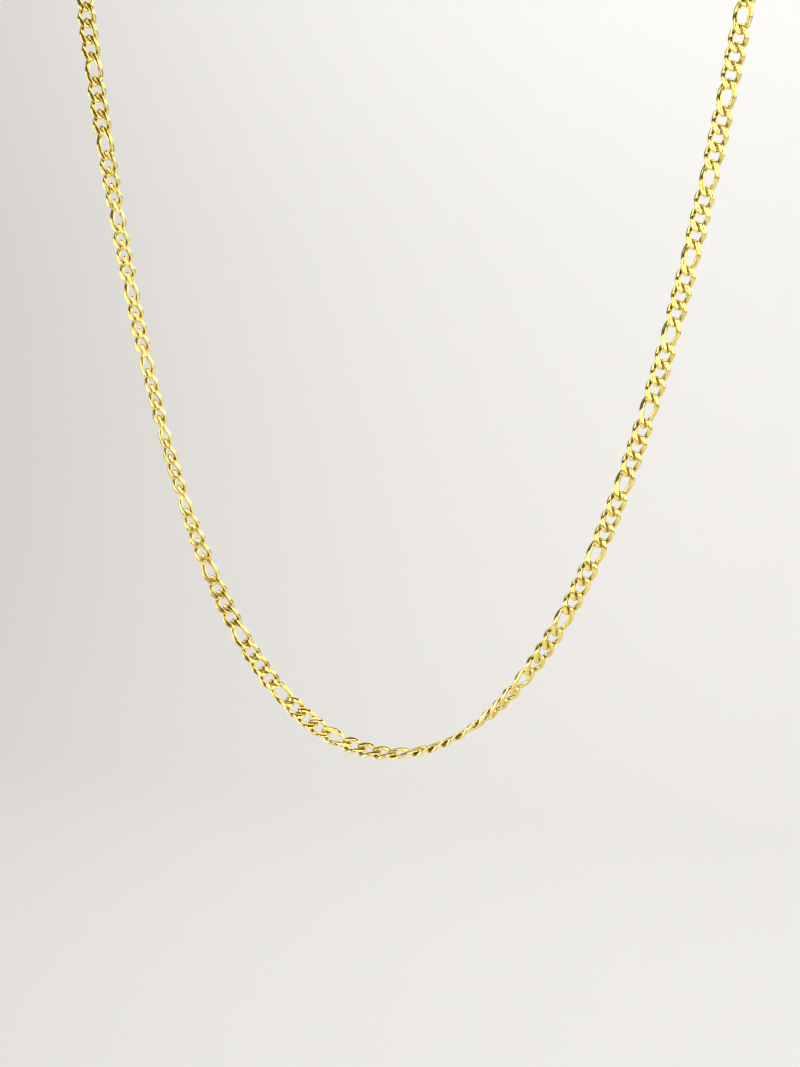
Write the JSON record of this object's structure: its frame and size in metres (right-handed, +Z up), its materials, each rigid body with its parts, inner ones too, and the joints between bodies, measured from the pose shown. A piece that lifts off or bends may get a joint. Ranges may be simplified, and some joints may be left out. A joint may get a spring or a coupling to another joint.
{
  "type": "figaro chain necklace",
  "caption": "Closed necklace of twisted oval links, short ones in groups with a long one between, shaped as it hangs round a neck, with two jump rings and a plain clasp at the nape.",
  "frame": {"origin": "middle of the tilted neck circle, where the wearer's neck passes through the necklace", "axes": "+Z up, +Y toward the wearer's back and the clasp, +X to the right in the front view; the front of the chain hangs in a plane square to Y"},
  "size_m": [0.1168, 0.0631, 0.1753],
  "materials": {
    "chain": "polished yellow gold colour",
    "rings": "polished yellow gold colour",
    "clasp": "polished yellow gold colour"
  },
  "bodies": {
    "root": {"chain_left": "chain", "chain_right": "chain", "ring_left": "rings", "clasp": "clasp", "ring_right": "rings"}
  },
  "joints": []
}
